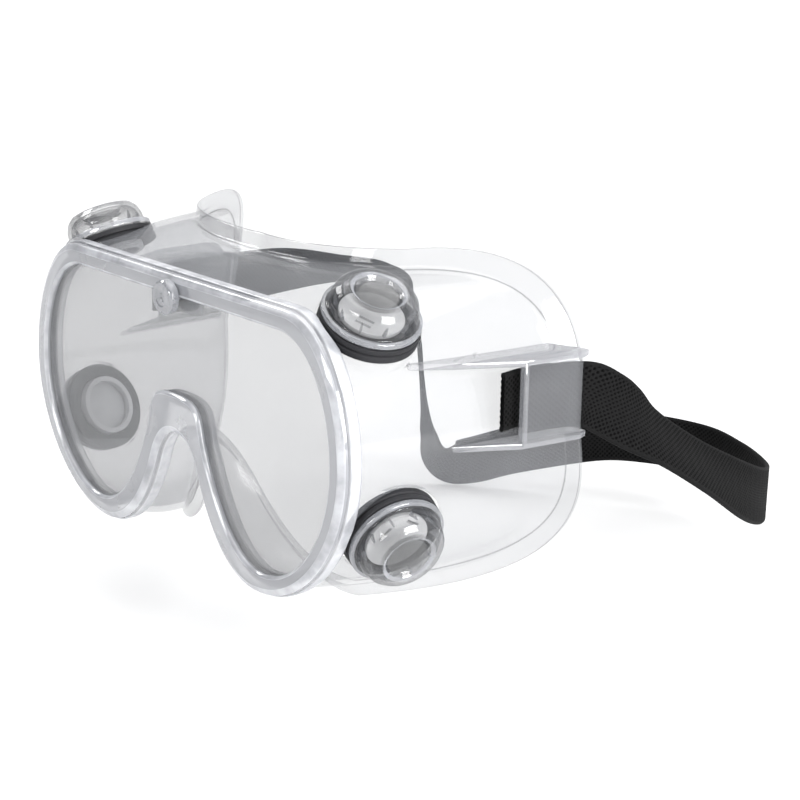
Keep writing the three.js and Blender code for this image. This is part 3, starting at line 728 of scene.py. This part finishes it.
# Centre line from the right bracket round to the left one, each point with the direction of the width.
UPRIGHT = (0, 0, 1)
BRACKET_COURSE = [(85.9, 55, 15.9), (86.7, 62, 15.9), (88.0, 69, 15.9)]
STRAP_COURSE = [(p, UPRIGHT) for p in BRACKET_COURSE] + [
    ((89.2, 75.5, 15.0), UPRIGHT),
    ((89.9, 82, 11.6), UPRIGHT),
    ((90.5, 90, 6.5), (-0.2, 0, 1)),
    ((90.5, 101, -0.7), (-0.5, 0, 0.85)),
    ((88.5, 123, -14), (-0.55, 0.1, 0.8)),
    ((81.5, 150, -28.5), (-0.3, 0.2, 0.9)),
    ((67, 177, -39.5), UPRIGHT),
    ((46, 202, -46.5), UPRIGHT),
    ((22, 218, -49), UPRIGHT),
    ((0, 223.5, -49), UPRIGHT),
    ((-30, 210, -49), (-0.2, 0.2, 1)),
    ((-48, 199, -53.5), (-0.2, 0.2, 1)),
    ((-62, 186, -58.5), UPRIGHT),
    ((-71, 176, -62.5), (0.15, 0.1, 1)),
    ((-76, 170, -63.5), (0.35, 0, 0.95)),
    ((-79.5, 165.5, -60), (0.6, -0.25, 0.75)),
    ((-81.5, 163.5, -52), (0.7, -0.4, 0.6)),
    ((-83, 162.5, -42), (0.75, -0.55, 0.4)),
    ((-84, 161.5, -30), (0.75, -0.6, 0.3)),
    ((-85, 160.5, -16), (0.75, -0.6, 0.3)),
    ((-85.5, 158.5, -3), (0.7, -0.65, 0.3)),
    ((-87, 154, 6), (0.68, -0.65, 0.34)),
    ((-89, 144, 10), (0.66, -0.6, 0.42)),
    ((-90.5, 124, 12.5), (0.6, -0.5, 0.62)),
    ((-91, 101, 14.5), (0.3, -0.25, 0.9)),
    ((-89.9, 82, 14.4), UPRIGHT),
    ((-89.2, 75.5, 15.4), UPRIGHT),
] + [((-x, y, z), UPRIGHT) for x, y, z in BRACKET_COURSE[::-1]]


def smooth_line(course, spacing):
    """A centripetal Catmull-Rom line through a course, cut at an even spacing.

    Gives the points, the directions of the width and the distance run at each."""
    p = np.array([a + b for a, b in course], float)
    p = np.vstack([2 * p[0] - p[1], p, 2 * p[-1] - p[-2]])
    t = np.concatenate([[0], np.cumsum(np.linalg.norm(np.diff(p[:, :3], axis=0), axis=1) ** 0.5)])
    dense = []
    for k in range(1, len(p) - 2):
        u = np.linspace(t[k], t[k + 1], 60, endpoint=False)[:, None]
        t0, t1, t2, t3 = t[k - 1:k + 3]
        a1 = (t1 - u) / (t1 - t0) * p[k - 1] + (u - t0) / (t1 - t0) * p[k]
        a2 = (t2 - u) / (t2 - t1) * p[k] + (u - t1) / (t2 - t1) * p[k + 1]
        a3 = (t3 - u) / (t3 - t2) * p[k + 1] + (u - t2) / (t3 - t2) * p[k + 2]
        b1 = (t2 - u) / (t2 - t0) * a1 + (u - t0) / (t2 - t0) * a2
        b2 = (t3 - u) / (t3 - t1) * a2 + (u - t1) / (t3 - t1) * a3
        dense.append((t2 - u) / (t2 - t1) * b1 + (u - t1) / (t2 - t1) * b2)
    dense = np.vstack(dense + [p[-2:-1]])
    run = np.concatenate([[0], np.cumsum(np.linalg.norm(np.diff(dense[:, :3], axis=0), axis=1))])
    count = max(2, round(run[-1] / spacing))
    at = np.linspace(0, run[-1], count + 1)
    even = np.stack([np.interp(at, run, dense[:, i]) for i in range(6)], 1)
    return even[:, :3], even[:, 3:], at


def unit(vectors):
    return vectors / np.linalg.norm(vectors, axis=1)[:, None]


KNIT_ALONG, KNIT_ACROSS = 1.9, 1.6  # one repeat of the knit, which holds two staggered holes


def webbing(name, course, width, thickness, spacing=0.3):
    """Knitted webbing on edge along a course: its ribs and holes are in the mesh."""
    line, lean, run = smooth_line(course, spacing)
    along = unit(np.gradient(line, axis=0))
    side = unit(np.cross(along, lean))
    up = np.cross(side, along)
    columns = 2 * round(width / KNIT_ACROSS * 2) + 1
    across = np.linspace(-width / 2 + 0.35, width / 2 - 0.35, columns)
    edge = thickness / 2
    section = [(a, edge) for a in across] + [(width / 2 - 0.05, edge * 0.6), (width / 2, 0)]
    section += [(width / 2 - 0.05, -edge * 0.6)] + [(a, -edge) for a in across[::-1]]
    section += [(-width / 2 + 0.05, -edge * 0.6), (-width / 2, 0), (-width / 2 + 0.05, edge * 0.6)]
    section = np.array(section)
    u, v = run[:, None], section[None, :, 0]
    wave = np.cos(2 * math.pi * u / KNIT_ALONG) * np.cos(2 * math.pi * v / KNIT_ACROSS)
    inside = np.clip((width / 2 - 0.7 - np.abs(v)) / 0.5, 0, 1)
    hole = np.clip((wave + 0.05) / 0.5, 0, 1) * inside
    flat = (np.abs(section[:, 1]) > edge * 0.9)[None, :]
    depth = np.where(flat, -0.16 * hole + 0.05 * (1 - hole), 0)
    out = section[None, :, 1] + np.sign(section[None, :, 1]) * depth
    points = line[:, None, :] + side[:, None, :] * out[..., None] + up[:, None, :] * v[..., None]
    rows, n = points.shape[:2]
    first = np.arange(rows - 1)[:, None] * n + np.arange(n)[None, :]
    nxt = np.arange(rows - 1)[:, None] * n + (np.arange(n)[None, :] + 1) % n
    quads = np.stack([first, nxt, nxt + n, first + n], -1).reshape(-1, 4)
    faces = quads.tolist() + [list(range(n))[::-1], [(rows - 1) * n + i for i in range(n)]]
    obj = new_object(name, points.reshape(-1, 3), faces, 60)
    mesh = obj.data
    holes = mesh.attributes.new("knit_hole", "FLOAT", "POINT")
    holes.data.foreach_set("value", np.broadcast_to(hole, out.shape).astype(np.float32).ravel())
    spots = np.stack([np.broadcast_to(u, out.shape), np.broadcast_to(v, out.shape), out], -1)
    places = mesh.attributes.new("strap_place", "FLOAT_VECTOR", "POINT")
    places.data.foreach_set("vector", spots.astype(np.float32).ravel())
    return obj


STRAP_WIDTH, TAIL_WIDTH, STRAP_THICKNESS = 18, 16, 1.3
TAIL_HEIGHT = 16.5
TAIL_COURSE = [(85.5, 47.2), (84.05, 56), (84.7, 65)]
strap = webbing("strap_webbing", STRAP_COURSE, STRAP_WIDTH, STRAP_THICKNESS)
strap.data.materials.append(WEBBING)
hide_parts("strap_end_right", "strap_end_left", "strap_loop")
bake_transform(strap)

for side_name, side in (("right", 1), ("left", -1)):
    course = [((x * side, y, TAIL_HEIGHT), UPRIGHT) for x, y in TAIL_COURSE]
    tail = webbing(f"strap_tail_{side_name}_webbing", course, TAIL_WIDTH, STRAP_THICKNESS)
    finish_piece(tail, WEBBING, "goggles", "black_webbing", f"strap_tail_{side_name}")

# ------------------------------------------------------------------ floor, light and camera

FLOOR_HALF = 9  # metres
floor_z = min(cad_low.z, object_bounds()[0].z) - 0.0005
corners = [(x * FLOOR_HALF, y * FLOOR_HALF, floor_z) for x, y in ((-1, -1), (1, -1), (1, 1), (-1, 1))]
floor = new_object("floor", corners, [(0, 1, 2, 3)], as_is=True)
pale = Nodes("pale_floor")
distance = pale.add("ShaderNodeVectorMath", {0: pale.position()}, operation="LENGTH").outputs["Value"]
near = pale.mix(pale.ramp(pale.noise(6.0, 3.0), 0.3, 0.7), (0.76, 0.76, 0.76, 1), (0.78, 0.78, 0.78, 1))
floor.data.materials.append(pale.finish(
    Base_Color=pale.mix(pale.ramp(distance, 0.4, 2.6), near, (0.93, 0.93, 0.93, 1)), Roughness=0.9))

scene = bpy.context.scene
world = bpy.data.worlds.new("studio")
world.use_nodes = True
tree = world.node_tree
direction = tree.nodes.new("ShaderNodeTexCoord")
toward_front = tree.nodes.new("ShaderNodeVectorMath")
toward_front.operation = "DOT_PRODUCT"
toward_front.inputs[1].default_value = (-0.45, -0.89, 0.0)
level = tree.nodes.new("ShaderNodeMapRange")
level.interpolation_type = "SMOOTHSTEP"
for key, value in {"From Min": -0.1, "From Max": 0.75, "To Min": 1.02, "To Max": 0.16}.items():
    level.inputs[key].default_value = value
tree.links.new(direction.outputs["Generated"], toward_front.inputs[0])
tree.links.new(toward_front.outputs["Value"], level.inputs["Value"])
background = tree.nodes["Background"]
background.inputs["Color"].default_value = (0.985, 0.99, 1.0, 1)
tree.links.new(level.outputs["Result"], background.inputs["Strength"])
scene.world = world


def area_light(name, position, size, power):
    """A soft panel, in metres and watts, that faces the origin."""
    light = bpy.data.lights.new(name, "AREA")
    light.shape = "RECTANGLE"
    light.size, light.size_y = size
    light.energy = power
    obj = bpy.data.objects.new(name, light)
    obj.location = position
    obj.rotation_mode = "QUATERNION"
    obj.rotation_quaternion = Vector(position).to_track_quat("Z", "Y")
    scene.collection.objects.link(obj)


sun = bpy.data.lights.new("sky_panel", "SUN")
sun.energy = 1.5
sun.angle = math.radians(70)
sun_object = bpy.data.objects.new("sky_panel", sun)
scene.collection.objects.link(sun_object)
area_light("side", (1.0, 0.05, 0.25), (0.5, 0.5), 11)
area_light("upper_left", (-0.9, -0.33, 0.75), (0.45, 0.3), 4)
area_light("front", (0.35, -1.2, 0.5), (0.5, 0.4), 6)

AZIMUTH, ELEVATION, ROLL = (math.radians(a) for a in (50.685, 15.579, 1.101))
CAMERA_POSITION = (0.4493, -0.3453, 0.1539)
camera = bpy.data.cameras.new("camera")
camera.lens = 87.86
camera.sensor_width = 36
camera.clip_start = 0.01
camera_object = bpy.data.objects.new("camera", camera)
scene.collection.objects.link(camera_object)
back = Vector((math.sin(AZIMUTH) * math.cos(ELEVATION), -math.cos(AZIMUTH) * math.cos(ELEVATION),
               math.sin(ELEVATION)))
right = Vector((math.cos(AZIMUTH), math.sin(AZIMUTH), 0))
up = back.cross(right)
turned_right = math.cos(ROLL) * right + math.sin(ROLL) * up
turned_up = math.cos(ROLL) * up - math.sin(ROLL) * right
camera_object.matrix_world = Matrix((
    (turned_right.x, turned_up.x, back.x, CAMERA_POSITION[0]),
    (turned_right.y, turned_up.y, back.y, CAMERA_POSITION[1]),
    (turned_right.z, turned_up.z, back.z, CAMERA_POSITION[2]),
    (0, 0, 0, 1),
))
scene.camera = camera_object
scene.view_settings.view_transform = "Standard"
